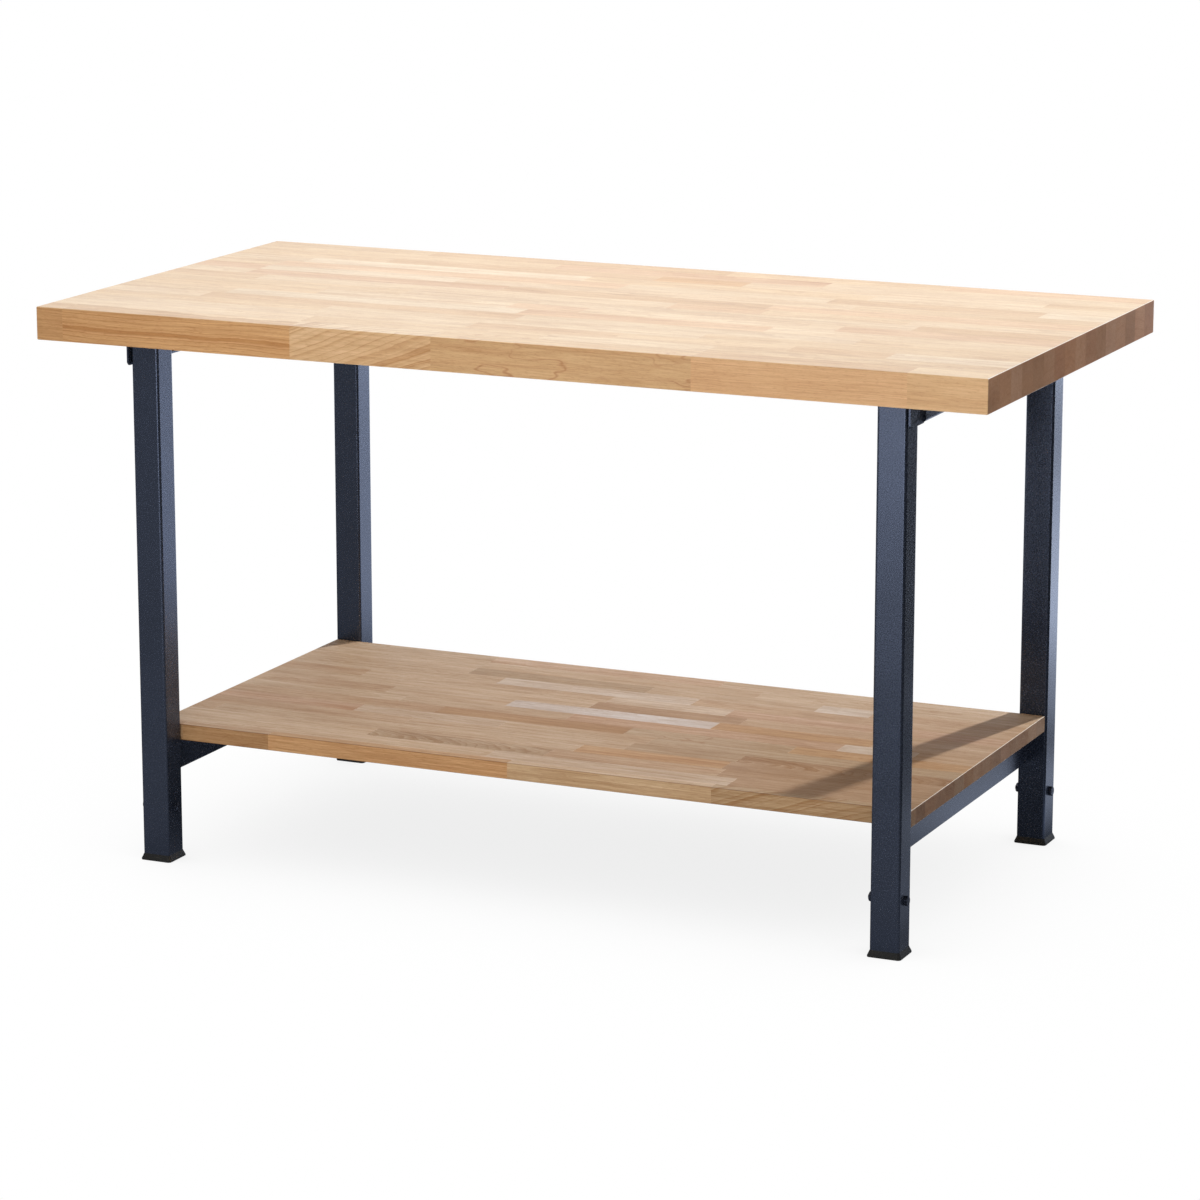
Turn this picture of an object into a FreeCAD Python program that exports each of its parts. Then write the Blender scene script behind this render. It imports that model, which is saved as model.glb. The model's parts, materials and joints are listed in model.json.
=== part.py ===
import FreeCAD, Part
import math
import os

# Assembly table: a thick block-board worktop on two welded side frames of square steel
# tube, with a shelf board low down between the frames.  Each leg holds a sliding foot
# tube with a flared plastic foot, fixed at its height by one bolt across the leg.
#
# Millimetres.  +X runs along the table to the right, +Y to the back, +Z up.  The origin
# is on the floor under the middle of the worktop, with the feet fully in.

V = FreeCAD.Vector

# ---------------------------------------------------------------- driving dimensions
TABLE_LENGTH = 1500.0
TABLE_DEPTH = 750.0
TABLE_HEIGHT = 854.0

WORKTOP_THICKNESS = 50.0
WORKTOP_EASED_EDGE = 1.5

END_OVERHANG = 133.5            # worktop end to the outer face of a leg
FRONT_OVERHANG = 48.0           # worktop front to the front face of the front legs
REAR_OVERHANG = 17.0            # worktop back to the rear face of the rear legs

LEG_SIZE = 45.0                 # outside of the square tube
LEG_WALL = 2.0
LEG_CORNER = 4.0

SHELF_TOP_HEIGHT = 207.5
SHELF_THICKNESS = 25.0
SHELF_EASED_EDGE = 1.0
SHELF_END_INSET = 2.0           # shelf end inside the legs' outer faces
SHELF_LEG_GAP = 2.0             # shelf front and back to the legs

RAIL_HEIGHT = 50.0              # lower cross rail, a folded angle
RAIL_WIDTH = 30.0
RAIL_SHEET = 3.0
RAIL_STEP = 17.0                # rail's outer face, outwards of the legs' inner faces

BEAM_DROP = 36.0                # upper crossbeam, a folded channel under the worktop
BEAM_WIDTH = 40.0
BEAM_LIP = 14.5                 # inwards along its lower edge
BEAM_SHEET = 3.0

BRACKET_SHEET = 3.0             # head bracket, folded sheet on top of each leg
BRACKET_DROP = 37.0
BRACKET_LEG_GAP = 3.0           # between the leg and the bracket's side plate
BRACKET_LIP = 3.0               # head plate past the leg's outer end, along Y
BRACKET_INNER_END = 6.0         # head plate past the leg towards the crossbeam
BRACKET_EAR = 28.0              # head plate inwards of the leg, for the worktop screw
BRACKET_CORNER_CUT = 4.0
TONGUE_LENGTH = 80.0            # side plate carried on inside the crossbeam
BEAM_END_GAP = 0.5              # crossbeam end to the head plate
BEND_RADIUS = 2.0               # inside radius of every fold

FOOT_CAP_HEIGHT = 10.0
FOOT_CAP_FLARE = 3.3            # base past the leg on each side
FOOT_CAP_LIP = 2.0              # upright edge at the base
FOOT_CAP_CORNER = 5.0
PLUG_HEIGHT = 28.0
PLUG_WALL = 3.0
PLUG_CORNER = 1.2
PLUG_CLEARANCE = 0.2
FOOT_TUBE_WALL = 2.0
FOOT_TUBE_CORNER = 3.0
FOOT_TUBE_CLEARANCE = 0.5       # foot tube inside the leg, each side
FOOT_TRAVEL = 100.0
FOOT_TUBE_END = 23.5            # foot tube above its slot
CLAMP_BOLT_RISE = 72.0          # clamp bolt above the leg's lower end
SLOT_CLEARANCE = 0.5            # bolt to slot, each side

# Fasteners: shank diameter, width across flats, head or nut height.
BOLT_SHANK = 8.0
BOLT_FLATS = 13.0
BOLT_HEAD = 5.3
NUT_HEIGHT = 6.8
WASHER_OUTSIDE = 16.0
WASHER_THICKNESS = 1.6
BOLT_END = 1.6                  # thread past the nut
BOLT_TIP_CHAMFER = 0.8
BOLT_HOLE_CLEARANCE = 0.25
RUNNING_CLEARANCE = 0.05        # thread to nut or wood, each side
HEXAGON_CHAMFER_ANGLE = 30.0

BEAM_BOLT_DROP = 15.0           # crossbeam bolts below the worktop
BEAM_BOLT_INSET = 21.0          # first bolt from the crossbeam's end
BEAM_BOLT_PITCH = 40.0

WORKTOP_SCREW_SHANK = 8.0
WORKTOP_SCREW_FLATS = 13.0
WORKTOP_SCREW_HEAD = 5.5
WORKTOP_SCREW_BITE = 30.0
WORKTOP_SCREW_SPACING = 150.0   # along each crossbeam, from its middle

SHELF_SCREW_SHANK = 5.0
SHELF_SCREW_HEAD = 10.0
SHELF_SCREW_HEAD_HEIGHT = 3.2
SHELF_SCREW_HEAD_ROUND = 1.9
SHELF_SCREW_BITE = 15.0
SHELF_SCREW_SPACING = 220.0
PILOT_END = 2.0                 # pilot hole past the screw's tip

CUT_MARGIN = 1.0                # a cutter runs this far past the faces it opens

# ---------------------------------------------------------------- derived places
underside = TABLE_HEIGHT - WORKTOP_THICKNESS
leg_bottom = FOOT_CAP_HEIGHT
leg_top = underside - BRACKET_SHEET

leg_outer_x = TABLE_LENGTH / 2 - END_OVERHANG
leg_inner_x = leg_outer_x - LEG_SIZE
leg_x = leg_outer_x - LEG_SIZE / 2

front_leg_face = -TABLE_DEPTH / 2 + FRONT_OVERHANG
rear_leg_face = TABLE_DEPTH / 2 - REAR_OVERHANG
frame_middle = (front_leg_face + rear_leg_face) / 2
half_frame = (rear_leg_face - front_leg_face) / 2
leg_ys = {"front": front_leg_face + LEG_SIZE / 2, "rear": rear_leg_face - LEG_SIZE / 2}
leg_to_leg = half_frame - LEG_SIZE          # frame's middle to the legs' facing sides

shelf_bottom = SHELF_TOP_HEIGHT - SHELF_THICKNESS
rail_outer_x = leg_inner_x + RAIL_STEP
rail_screw_x = rail_outer_x - (RAIL_SHEET + RAIL_WIDTH) / 2

plate_outer_x = leg_outer_x + BRACKET_LEG_GAP + BRACKET_SHEET
beam_outer_x = plate_outer_x + BEAM_SHEET
beam_screw_x = beam_outer_x - (BEAM_SHEET + BEAM_WIDTH) / 2
beam_half = leg_to_leg - BRACKET_INNER_END - BEAM_END_GAP
beam_bolt_z = underside - BEAM_BOLT_DROP

foot_tube_size = LEG_SIZE - 2 * LEG_WALL - 2 * FOOT_TUBE_CLEARANCE
clamp_bolt_z = leg_bottom + CLAMP_BOLT_RISE
slot_width = BOLT_SHANK + 2 * SLOT_CLEARANCE
foot_tube_top = clamp_bolt_z + FOOT_TRAVEL + slot_width / 2 + FOOT_TUBE_END

BOLT_HOLE = BOLT_SHANK + 2 * BOLT_HOLE_CLEARANCE

SIDES = {"left": -1, "right": 1}


# ---------------------------------------------------------------- shape helpers
def block(x0, x1, y0, y1, z0, z1):
    """A box between two corners."""
    return Part.makeBox(x1 - x0, y1 - y0, z1 - z0, V(x0, y0, z0))


def rounded_square(size, radius, z):
    """A closed wire: a square with round corners, centred on the Z axis."""
    h = size / 2
    r = radius
    diagonal = r * math.sqrt(0.5)
    edges = []
    for turn in range(4):
        angle = 90 * turn
        side = Part.makeLine(V(h, -h + r, z), V(h, h - r, z))
        middle = V(h - r + diagonal, h - r + diagonal, z)
        corner = Part.Arc(V(h, h - r, z), middle, V(h - r, h, z)).toShape()
        for edge in (side, corner):
            edge.rotate(V(0, 0, 0), V(0, 0, 1), angle)
            edges.append(edge)
    return Part.Wire(edges)


def square_bar(size, radius, z0, z1):
    """An upright bar of round-cornered square section, centred on the Z axis."""
    return Part.Face(rounded_square(size, radius, z0)).extrude(V(0, 0, z1 - z0))


def square_tube(size, wall, radius, z0, z1):
    """An upright square tube, centred on the Z axis."""
    inner_radius = max(radius - wall, wall / 2)
    bore = square_bar(size - 2 * wall, inner_radius, z0 - CUT_MARGIN, z1 + CUT_MARGIN)
    return square_bar(size, radius, z0, z1).cut(bore)


def folded_angle(outer_x, top_z, drop, width, sheet, y0, y1):
    """Folded sheet: a side plate facing +X and a flange inwards from its top."""
    outer_radius = BEND_RADIUS + sheet
    bend_x = outer_x - outer_radius
    bend_z = top_z - outer_radius
    diagonal = math.sqrt(0.5)

    def place(x, z):
        return V(x, y0, z)

    def bend_middle(radius):
        return place(bend_x + radius * diagonal, bend_z + radius * diagonal)

    lower_outer = place(outer_x, top_z - drop)
    bend_outer_low = place(outer_x, bend_z)
    bend_outer_top = place(bend_x, top_z)
    flange_top = place(outer_x - width, top_z)
    flange_under = place(outer_x - width, top_z - sheet)
    bend_inner_top = place(bend_x, top_z - sheet)
    bend_inner_low = place(bend_x + BEND_RADIUS, bend_z)
    lower_inner = place(bend_x + BEND_RADIUS, top_z - drop)
    outline = [
        Part.makeLine(lower_outer, bend_outer_low),
        Part.Arc(bend_outer_low, bend_middle(outer_radius), bend_outer_top).toShape(),
        Part.makeLine(bend_outer_top, flange_top),
        Part.makeLine(flange_top, flange_under),
        Part.makeLine(flange_under, bend_inner_top),
        Part.Arc(bend_inner_top, bend_middle(BEND_RADIUS), bend_inner_low).toShape(),
        Part.makeLine(bend_inner_low, lower_inner),
        Part.makeLine(lower_inner, lower_outer),
    ]
    return Part.Face(Part.Wire(outline)).extrude(V(0, y1 - y0, 0))


def folded_channel(outer_x, top_z, height, width, lip, sheet, y0, y1):
    """Folded sheet: a side plate facing +X, a flange from its top and a lip from its foot."""
    flanged = folded_angle(outer_x, top_z, height / 2, width, sheet, y0, y1)
    lipped = folded_angle(outer_x, top_z, height / 2, lip, sheet, y0, y1)
    lipped = lipped.mirror(V(0, 0, top_z - height / 2), V(0, 0, 1))
    return flanged.fuse(lipped).removeSplitter()


def rod(diameter, start, length, direction):
    """A plain cylinder."""
    return Part.makeCylinder(diameter / 2, length, start, direction)


def hexagon(flats, height, start, direction):
    """A hexagonal head or nut with its outer corners turned off."""
    corner = flats / math.sqrt(3)
    turns = [math.radians(60 * k) for k in range(7)]
    points = [V(corner * math.cos(turn), corner * math.sin(turn), 0) for turn in turns]
    prism = Part.Face(Part.makePolygon(points)).extrude(V(0, 0, height))
    fall = (corner - flats / 2) * math.tan(math.radians(HEXAGON_CHAMFER_ANGLE))
    skirt = Part.makeCylinder(corner + CUT_MARGIN, height - fall)
    crown = Part.makeCone(corner, flats / 2, fall, V(0, 0, height - fall))
    shape = prism.common(skirt.fuse(crown))
    shape.Placement = FreeCAD.Placement(start, FreeCAD.Rotation(V(0, 0, 1), direction))
    return shape


def mirrored(shape, side):
    """The right-hand shape, or its mirror image on the left."""
    if side == "right":
        return shape
    return shape.mirror(V(0, 0, 0), V(1, 0, 0))


def turned_to(shape, end):
    """The front-end shape, or its mirror image at the rear end of the frame."""
    if end == "front":
        return shape
    return shape.mirror(V(0, frame_middle, 0), V(0, 1, 0))


def each_leg():
    """Side, end and centre of every leg."""
    for end, y in leg_ys.items():
        for side, sign in SIDES.items():
            yield side, end, V(sign * leg_x, y, 0)


# ---------------------------------------------------------------- fasteners
def washer(start, direction):
    """A flat washer, from its seat outwards."""
    ring = rod(WASHER_OUTSIDE, start, WASHER_THICKNESS, direction)
    return ring.cut(rod(BOLT_HOLE, start, WASHER_THICKNESS, direction))


def nut(start, direction):
    """A hexagon nut, from its seat outwards."""
    body = hexagon(BOLT_FLATS, NUT_HEIGHT, start, direction)
    return body.cut(rod(BOLT_SHANK + 2 * RUNNING_CLEARANCE, start, NUT_HEIGHT, direction))


def bolt(seat, direction, grip):
    """A hexagon bolt: its head stands on seat, and its shank runs against direction."""
    length = grip + WASHER_THICKNESS + NUT_HEIGHT + BOLT_END
    plain = length - BOLT_TIP_CHAMFER
    back = V(direction).multiply(-1)
    tip_start = seat.add(V(back).multiply(plain))
    shank = rod(BOLT_SHANK, seat, plain, back)
    tip_radius = BOLT_SHANK / 2 - BOLT_TIP_CHAMFER
    tip = Part.makeCone(BOLT_SHANK / 2, tip_radius, BOLT_TIP_CHAMFER, tip_start, back)
    return hexagon(BOLT_FLATS, BOLT_HEAD, seat, direction).fuse([shank, tip]).removeSplitter()


def bolt_set(seat, direction, grip):
    """A bolt with the washer and nut on its far side."""
    back = V(direction).multiply(-1)
    far_side = seat.add(V(back).multiply(grip))
    nut_seat = far_side.add(V(back).multiply(WASHER_THICKNESS))
    return bolt(seat, direction, grip), washer(far_side, back), nut(nut_seat, back)


def worktop_screw(x, y, flange_bottom):
    """A hexagon-head wood screw, driven up into the worktop."""
    seat = V(x, y, flange_bottom)
    head = hexagon(WORKTOP_SCREW_FLATS, WORKTOP_SCREW_HEAD, seat, V(0, 0, -1))
    return head.fuse(screw_shank(seat, underside, WORKTOP_SCREW_SHANK, WORKTOP_SCREW_BITE))


def shelf_screw(x, y, flange_bottom):
    """A round-head wood screw, driven up into the shelf."""
    seat = V(x, y, flange_bottom)
    head = rod(SHELF_SCREW_HEAD, seat, SHELF_SCREW_HEAD_HEIGHT, V(0, 0, -1))
    middle_z = flange_bottom - SHELF_SCREW_HEAD_HEIGHT / 2
    rim = [edge for edge in head.Edges if edge.Closed and edge.CenterOfMass.z < middle_z]
    head = head.makeFillet(SHELF_SCREW_HEAD_ROUND, rim)
    return head.fuse(screw_shank(seat, shelf_bottom, SHELF_SCREW_SHANK, SHELF_SCREW_BITE))


def screw_shank(seat, wood_z, diameter, bite):
    """A screw's shank from under its head, with a conical point as long as it is thick."""
    straight = wood_z - seat.z + bite - diameter
    shank = rod(diameter, seat, straight, V(0, 0, 1))
    return shank.fuse(Part.makeCone(diameter / 2, 0, diameter, seat.add(V(0, 0, straight))))


def pilot_hole(x, y, wood_z, diameter, bite):
    """The hole in the wood round a screw."""
    start = V(x, y, wood_z - CUT_MARGIN)
    return rod(diameter + 2 * RUNNING_CLEARANCE, start, CUT_MARGIN + bite + PILOT_END, V(0, 0, 1))


def flange_hole(x, y, top_z, sheet, diameter):
    """The hole in a sheet flange round a screw."""
    start = V(x, y, top_z - sheet - CUT_MARGIN)
    return rod(diameter + 2 * BOLT_HOLE_CLEARANCE, start, sheet + 2 * CUT_MARGIN, V(0, 0, 1))


def bolt_hole(x0, x1, y, z):
    """The hole for a bolt along X, through what lies between x0 and x1."""
    return rod(BOLT_HOLE, V(x0 - CUT_MARGIN, y, z), x1 - x0 + 2 * CUT_MARGIN, V(1, 0, 0))


# ---------------------------------------------------------------- fastener places
def bracket_screw_places():
    """One worktop screw through the ear of each head bracket."""
    x = leg_inner_x - BRACKET_EAR / 2
    return [(sign * x, y) for y in leg_ys.values() for sign in SIDES.values()]


def beam_screw_places():
    """Worktop screws along both crossbeams."""
    ys = [frame_middle + k * WORKTOP_SCREW_SPACING for k in (-1, 0, 1)]
    return [(sign * beam_screw_x, y) for sign in SIDES.values() for y in ys]


def shelf_screw_places():
    """Shelf screws along both lower rails."""
    ys = [frame_middle + k * SHELF_SCREW_SPACING for k in (-1, 0, 1)]
    return [(sign * rail_screw_x, y) for sign in SIDES.values() for y in ys]


def beam_bolt_ys(end):
    """The two bolts through the tongue at one end of a crossbeam."""
    first = beam_half - BEAM_BOLT_INSET
    direction = -1 if end == "front" else 1
    return [frame_middle + direction * (first - k * BEAM_BOLT_PITCH) for k in (0, 1)]


# ---------------------------------------------------------------- pieces
def worktop():
    half_l = TABLE_LENGTH / 2
    half_d = TABLE_DEPTH / 2
    board = block(-half_l, half_l, -half_d, half_d, underside, TABLE_HEIGHT)
    board = board.makeFillet(WORKTOP_EASED_EDGE, board.Edges)
    holes = [
        pilot_hole(x, y, underside, WORKTOP_SCREW_SHANK, WORKTOP_SCREW_BITE)
        for x, y in bracket_screw_places() + beam_screw_places()
    ]
    return board.cut(holes)


def shelf_board():
    half_l = leg_outer_x - SHELF_END_INSET
    half_d = leg_to_leg - SHELF_LEG_GAP
    front = frame_middle - half_d
    back = frame_middle + half_d
    board = block(-half_l, half_l, front, back, shelf_bottom, SHELF_TOP_HEIGHT)
    board = board.makeFillet(SHELF_EASED_EDGE, board.Edges)
    holes = [
        pilot_hole(x, y, shelf_bottom, SHELF_SCREW_SHANK, SHELF_SCREW_BITE)
        for x, y in shelf_screw_places()
    ]
    return board.cut(holes)


def leg(centre):
    """Square tube with the clamp bolt's holes through its two X faces."""
    tube = square_tube(LEG_SIZE, LEG_WALL, LEG_CORNER, leg_bottom, leg_top)
    tube = tube.cut(bolt_hole(-LEG_SIZE / 2, LEG_SIZE / 2, 0, clamp_bolt_z))
    tube.translate(centre)
    return tube


def head_bracket(side, end):
    """Folded sheet on the leg's top end: head plate, side plate and tongue."""
    front = front_leg_face - BRACKET_LIP
    back = front_leg_face + LEG_SIZE + BRACKET_INNER_END
    width = BRACKET_SHEET + BRACKET_LEG_GAP + LEG_SIZE + BRACKET_EAR
    head = folded_angle(plate_outer_x, underside, BRACKET_DROP, width, BRACKET_SHEET, front, back)

    x0 = plate_outer_x - BRACKET_SHEET
    y0 = back - BRACKET_INNER_END
    z0 = underside - BEAM_DROP + BEAM_SHEET + BEND_RADIUS
    z1 = underside - BEAM_SHEET - BEND_RADIUS
    tongue = block(x0, plate_outer_x, y0, back + TONGUE_LENGTH, z0, z1)

    corner = V(0, front, underside - BRACKET_DROP)
    along = V(0, BRACKET_CORNER_CUT, 0)
    up = V(0, 0, BRACKET_CORNER_CUT)
    triangle = Part.makePolygon([corner, corner.add(along), corner.add(up), corner])
    wedge = Part.Face(triangle).extrude(V(plate_outer_x + CUT_MARGIN, 0, 0))

    holes = [bolt_hole(x0, plate_outer_x, y, beam_bolt_z) for y in beam_bolt_ys("front")]
    ear_x = leg_inner_x - BRACKET_EAR / 2
    ear_y = leg_ys["front"]
    holes.append(flange_hole(ear_x, ear_y, underside, BRACKET_SHEET, WORKTOP_SCREW_SHANK))
    bracket = head.fuse(tongue).removeSplitter().cut([wedge] + holes)
    return mirrored(turned_to(bracket, end), side)


def crossbeam(side):
    """Folded channel under the worktop, outside the tongues of two head brackets."""
    y0 = frame_middle - beam_half
    y1 = frame_middle + beam_half
    section = (BEAM_DROP, BEAM_WIDTH, BEAM_LIP, BEAM_SHEET)
    beam = folded_channel(beam_outer_x, underside, *section, y0, y1)
    holes = [
        bolt_hole(plate_outer_x, beam_outer_x, y, beam_bolt_z)
        for end in leg_ys
        for y in beam_bolt_ys(end)
    ]
    holes += [
        flange_hole(x, y, underside, BEAM_SHEET, WORKTOP_SCREW_SHANK)
        for x, y in beam_screw_places()
        if x > 0
    ]
    return mirrored(beam.cut(holes), side)


def shelf_rail(side):
    """Folded angle between the front and rear leg, under the shelf."""
    y0 = frame_middle - leg_to_leg
    y1 = frame_middle + leg_to_leg
    rail = folded_angle(rail_outer_x, shelf_bottom, RAIL_HEIGHT, RAIL_WIDTH, RAIL_SHEET, y0, y1)
    holes = [
        flange_hole(x, y, shelf_bottom, RAIL_SHEET, SHELF_SCREW_SHANK)
        for x, y in shelf_screw_places()
        if x > 0
    ]
    return mirrored(rail.cut(holes), side)


def foot_tube(centre):
    """Inner tube of a foot, with a slot for the clamp bolt in its two X faces."""
    tube = square_tube(foot_tube_size, FOOT_TUBE_WALL, FOOT_TUBE_CORNER, leg_bottom, foot_tube_top)
    reach = foot_tube_size / 2 + CUT_MARGIN
    half_slot = slot_width / 2
    slot_top = clamp_bolt_z + FOOT_TRAVEL
    low = rod(slot_width, V(-reach, 0, clamp_bolt_z), 2 * reach, V(1, 0, 0))
    high = rod(slot_width, V(-reach, 0, slot_top), 2 * reach, V(1, 0, 0))
    between = block(-reach, reach, -half_slot, half_slot, clamp_bolt_z, slot_top)
    tube = tube.cut(low.fuse([high, between]).removeSplitter())
    tube.translate(centre)
    return tube


def foot_cap(centre):
    """Flared plastic foot with a hollow plug that fits the foot tube's lower end."""
    base_size = LEG_SIZE + 2 * FOOT_CAP_FLARE
    lip = square_bar(base_size, FOOT_CAP_CORNER, 0, FOOT_CAP_LIP)
    wide = rounded_square(base_size, FOOT_CAP_CORNER, FOOT_CAP_LIP)
    narrow = rounded_square(LEG_SIZE, LEG_CORNER, FOOT_CAP_HEIGHT)
    flare = Part.makeLoft([wide, narrow], True, True)

    plug_size = foot_tube_size - 2 * FOOT_TUBE_WALL - 2 * PLUG_CLEARANCE
    plug_top = FOOT_CAP_HEIGHT + PLUG_HEIGHT
    plug = square_tube(plug_size, PLUG_WALL, PLUG_CORNER, FOOT_CAP_HEIGHT, plug_top)
    cap = lip.fuse([flare, plug]).removeSplitter()
    cap.translate(centre)
    return cap


# ---------------------------------------------------------------- fastener groups
def clamp_fasteners():
    """Bolt, washer and nut across every leg, all with the head on the +X side."""
    sets = [
        bolt_set(V(centre.x + LEG_SIZE / 2, centre.y, clamp_bolt_z), V(1, 0, 0), LEG_SIZE)
        for _, _, centre in each_leg()
    ]
    return [list(kind) for kind in zip(*sets)]


def crossbeam_fasteners():
    """Bolts through crossbeams and tongues, with their heads outside."""
    grip = BEAM_SHEET + BRACKET_SHEET
    sets = [
        bolt_set(V(sign * beam_outer_x, y, beam_bolt_z), V(sign, 0, 0), grip)
        for sign in SIDES.values()
        for end in leg_ys
        for y in beam_bolt_ys(end)
    ]
    return [list(kind) for kind in zip(*sets)]


def worktop_screws():
    places = [(x, y, underside - BRACKET_SHEET) for x, y in bracket_screw_places()]
    places += [(x, y, underside - BEAM_SHEET) for x, y in beam_screw_places()]
    return [worktop_screw(x, y, flange_bottom) for x, y, flange_bottom in places]


def shelf_screws():
    return [shelf_screw(x, y, shelf_bottom - RAIL_SHEET) for x, y in shelf_screw_places()]


# ---------------------------------------------------------------- assembly
def all_parts():
    """Every node's name with its shape."""
    parts = {"worktop": worktop(), "shelf_board": shelf_board()}
    for side, end, centre in each_leg():
        place = end + "_" + side
        parts["leg_" + place] = leg(centre)
        parts["head_bracket_" + place] = head_bracket(side, end)
        parts["foot_tube_" + place] = foot_tube(centre)
        parts["foot_cap_" + place] = foot_cap(centre)
    for side in SIDES:
        parts["crossbeam_" + side] = crossbeam(side)
        parts["shelf_rail_" + side] = shelf_rail(side)

    groups = {"worktop_screws": worktop_screws(), "shelf_screws": shelf_screws()}
    for prefix, kinds in (("clamp", clamp_fasteners()), ("crossbeam", crossbeam_fasteners())):
        for kind, solids in zip(("bolts", "washers", "nuts"), kinds):
            groups[prefix + "_" + kind] = solids
    for name, solids in groups.items():
        parts[name] = Part.makeCompound(solids)
    return parts


os.makedirs("parts", exist_ok=True)
for name, shape in all_parts().items():
    shape.exportStep(os.path.join("parts", name + ".step"))
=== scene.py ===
"""Assembly table: block-board worktop and shelf on a powder-coated steel frame.

Blender 4.5.  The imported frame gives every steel, plastic and fastener node its shape and
place.  The two boards are built here from single staves, and every surface gets a
procedural finish.  Metres, in the frame's own axes: +X along the table, +Y to the back.
Staves, grain and surface texture are given in millimetres.
"""

import json
import math
import random

import bpy
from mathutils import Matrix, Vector


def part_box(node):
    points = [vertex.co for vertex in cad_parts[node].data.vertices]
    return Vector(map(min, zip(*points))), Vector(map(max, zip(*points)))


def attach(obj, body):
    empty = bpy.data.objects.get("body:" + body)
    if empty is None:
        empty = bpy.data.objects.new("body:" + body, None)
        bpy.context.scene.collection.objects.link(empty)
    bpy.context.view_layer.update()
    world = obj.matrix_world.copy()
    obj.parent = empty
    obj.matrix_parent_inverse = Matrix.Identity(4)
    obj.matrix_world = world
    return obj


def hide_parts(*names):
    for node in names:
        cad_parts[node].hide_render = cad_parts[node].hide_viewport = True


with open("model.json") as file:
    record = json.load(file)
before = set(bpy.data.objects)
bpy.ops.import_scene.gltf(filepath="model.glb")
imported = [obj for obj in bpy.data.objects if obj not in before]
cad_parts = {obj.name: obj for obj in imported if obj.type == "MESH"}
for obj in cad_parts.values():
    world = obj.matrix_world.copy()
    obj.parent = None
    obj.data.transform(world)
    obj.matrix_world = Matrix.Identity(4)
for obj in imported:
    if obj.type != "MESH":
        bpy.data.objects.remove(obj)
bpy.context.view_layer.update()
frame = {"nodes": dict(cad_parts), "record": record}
MM = 0.001
WHITE = (1.0, 1.0, 1.0, 1.0)

# ------------------------------------------------------------------ camera and studio
CAMERA_PLACE = (2.6467, -5.8350, 1.8731)
CAMERA_YAW = math.radians(24.37)
CAMERA_PITCH = math.radians(12.97)
CAMERA_LENS = 129.57            # focal length and width of the sensor, mm
CAMERA_SENSOR = 36.0
CAMERA_REACH = 60.0             # how far the camera sees, m

# name, place, what it points at, width, height, watts, and whether gloss shows it
LAMPS = [
    ("ceiling_softbox", (-0.3, -0.25, 3.2), (0.0, 0.0, 0.8), 2.6, 1.8, 40.0, True),
    ("high_softbox", (-1.6, -3.6, 3.0), (0.0, 0.0, 0.6), 2.2, 1.6, 12.0, True),
    ("front_softbox", (0.15, -2.9, 0.80), (0.30, 0.0, 0.8), 0.8, 1.1, 31.0, False),
    ("back_lamp", (1.62, 4.35, 3.2), (0.0, 0.0, 0.2), 0.16, 0.16, 300.0, False),
]
SKY_FILL = 0.24                 # even light from all round
COOL_WHITE = (0.79, 0.88, 1.06, 1.0)
SOFT_WHITE = (0.86, 0.88, 0.92, 1.0)
# How bright the walls behind the table and in front of it are in its gloss, and between
# which directions (Y of a unit vector) one turns into the other.
WALL_BACK = 1.0
WALL_FRONT = 0.12
WALL_TURN = (0.25, 0.75)

FLOOR_HALF = 12.0               # half the floor's width, m
FLOOR_GREY = (0.8, 0.8, 0.8, 1.0)
FLOOR_SHADE = 0.84              # what is left of the white floor where the table hides the sky
FLOOR_REACH = 0.7               # how far up the floor looks for the table, m
FLOOR_SAMPLES = 16              # rays it looks along
STUDIO_ROUGHNESS = 0.9          # of the floor and the cards
# The floor as gloss sees it glows in painted pools of light on a dark ground, which paint
# the frame's reflections.  For each edge of a pool: where it starts and ends, m, and its
# brightness there where that isn't 0 and 1.
POOL_EDGES = {
    "behind_rise": (0.85, 1.2, 0.0, 1.05),
    "behind_glow": (4.3, 5.1, 0.0, 5.0),
    "behind_right": (0.74, 0.62),
    "lamp_rise": (1.3, 2.0, 0.0, 4.0),
    "lamp_fall": (2.8, 3.4, 0.0, -3.9),
    "lamp_left": (0.40, 0.46),
    "lamp_right": (0.68, 0.58),
    "left_rise": (1.1, 1.4, 0.0, 0.45),
    "left_fall": (3.5, 2.7),
    "left_side": (0.38, 0.28),
    "beside_left": (0.60, 0.74),
    "beside_right": (0.88, 0.80),
    "beside_front": (-0.3, -0.1),
    "beside_back": (1.1, 0.7),
    "beside_dip": (0.15, 0.45, 0.35, 1.0),
    "front_rise": (-1.2, -3.0, 0.0, 0.40),
    "front_glow": (-3.2, -4.3, 0.0, 6.5),
    "front_left": (-1.5, -0.9),
    "front_right": (1.3, 0.7),
    "front_edge": (0.0, -0.6),
}
POOL_FRONT = 0.33               # brightness just in front of the table
POOL_GROUND = 0.04              # brightness outside the pools
POOL_SLANT = 0.333              # how far the pools behind lean towards +X for each 1 of Y

# Cards that only gloss can see, which paint dark reflections into the frame, their grey
# middle a lighter painted reflection: lowest and highest X, their Y, lowest and highest Z,
# and the Z where their grey middle starts and ends.
CARDS = {
    "dark_card": (0.80, 2.2, 0.62, 0.15, 1.3, None),
    "under_card": (0.22, 0.565, 0.10, 0.24, 0.79, (0.32, 0.61)),
}
CARD_BLACK = (0.045, 0.05, 0.06, 1.0)
CARD_GREY = (0.38, 0.39, 0.42, 1.0)
CARD_BLUR = 0.05                # half the width of the blur between the two, m

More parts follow.
